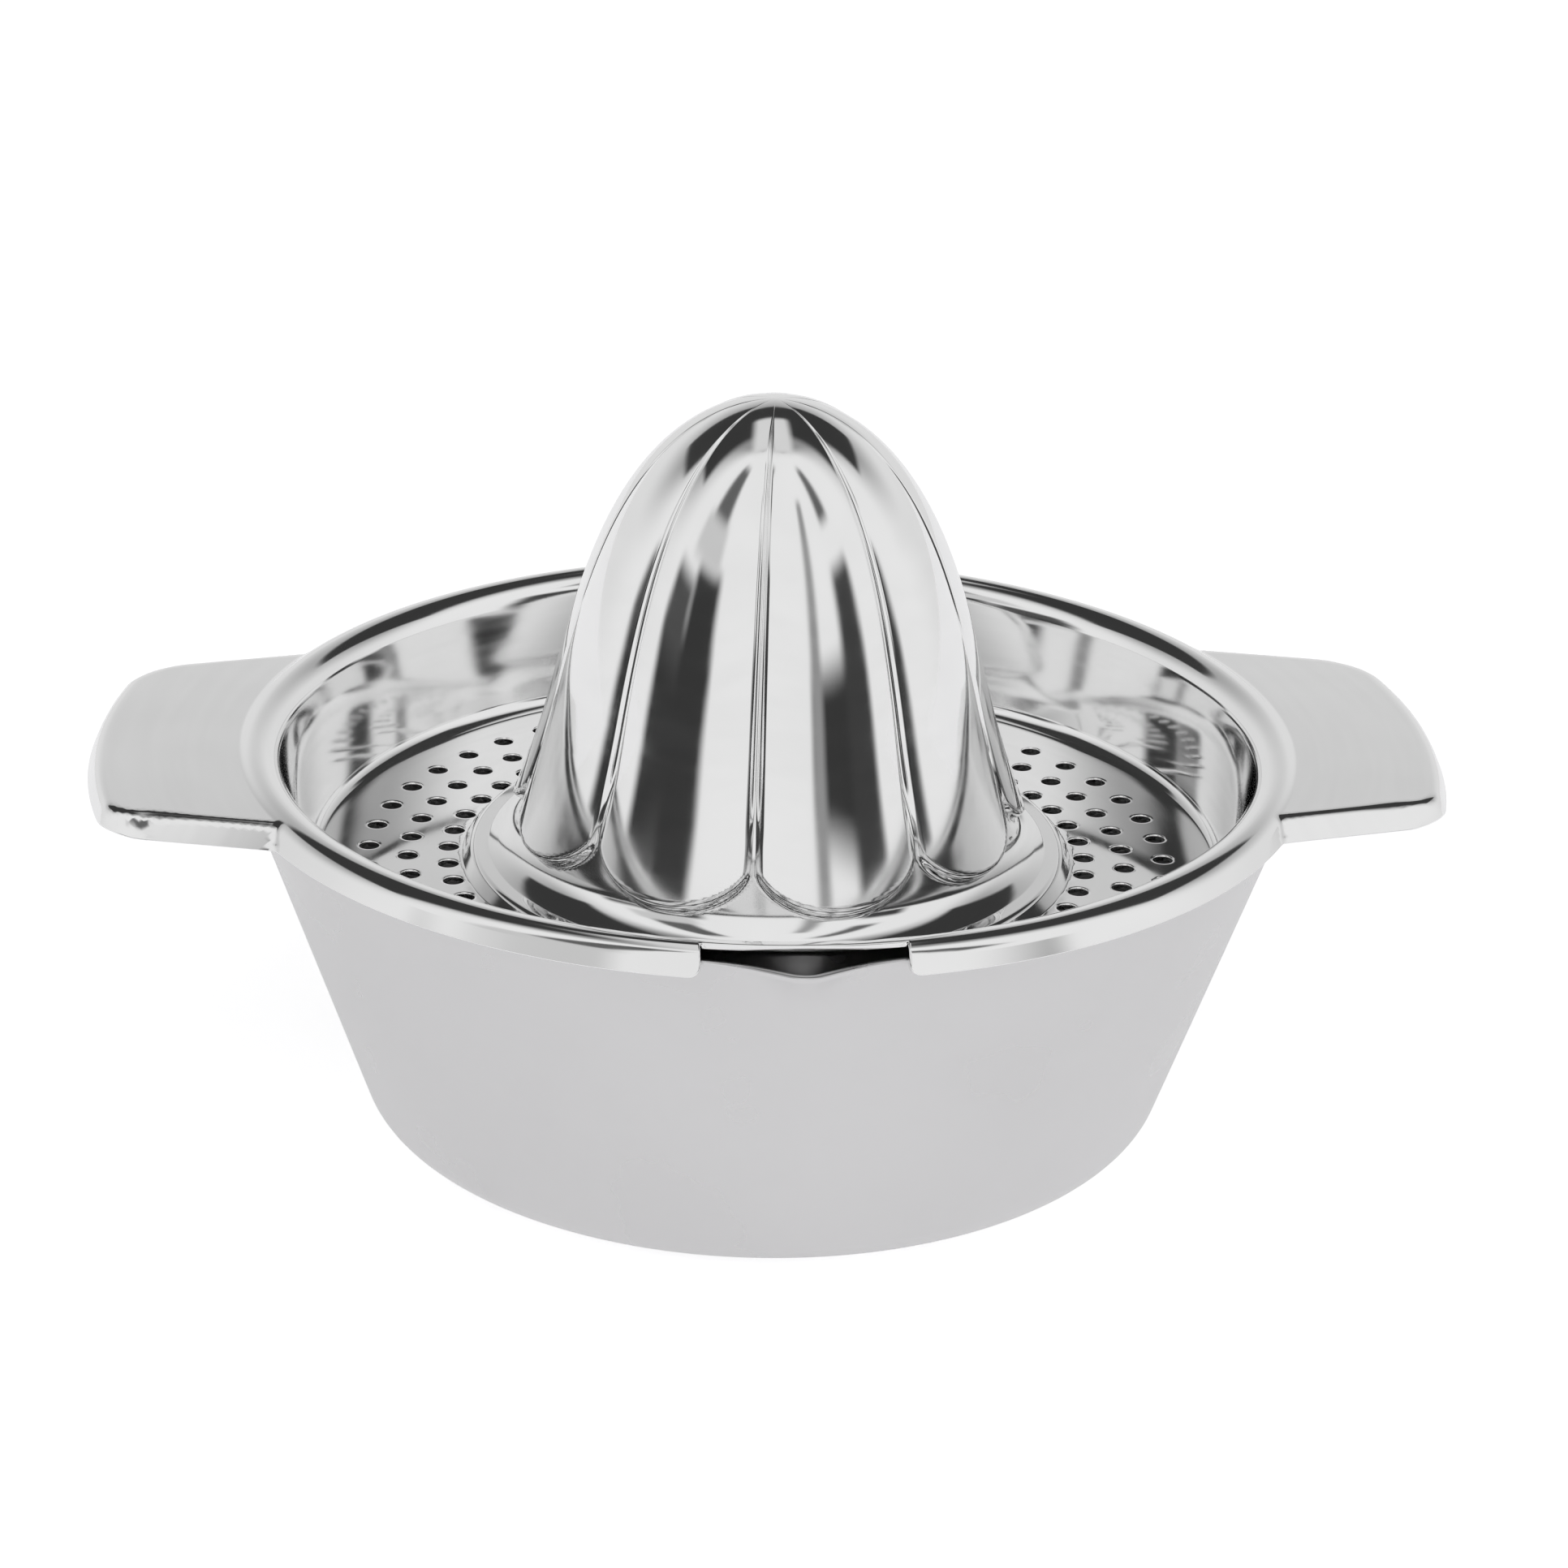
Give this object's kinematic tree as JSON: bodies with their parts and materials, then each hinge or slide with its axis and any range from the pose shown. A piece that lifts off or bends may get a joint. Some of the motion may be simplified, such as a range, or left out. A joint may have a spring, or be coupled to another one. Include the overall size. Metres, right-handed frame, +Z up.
{
  "type": "hand citrus juicer",
  "caption": "Two-piece hand citrus juicer in pressed steel: a perforated strainer with a fluted reamer and handle tabs rests on a juice bowl with a pouring lip.",
  "frame": {"origin": "centre of the bowl's flat base, on the juicer's axis, at the surface it stands on", "axes": "+Z up along the axis, +X along one handle tab, -Y towards the pouring lip"},
  "size_m": [0.168, 0.135, 0.091],
  "materials": {
    "bowl_steel": "satin outside",
    "strainer_steel": "polished"
  },
  "bodies": {
    "bowl": {"bowl": "bowl_steel"},
    "strainer": {"strainer": "strainer_steel"}
  },
  "joints": [
    {"name": "strainer_lift", "type": "slide", "parent": "bowl", "child": "strainer", "axis": [0, 0, 1], "range_m": [0, 0.06]}
  ]
}
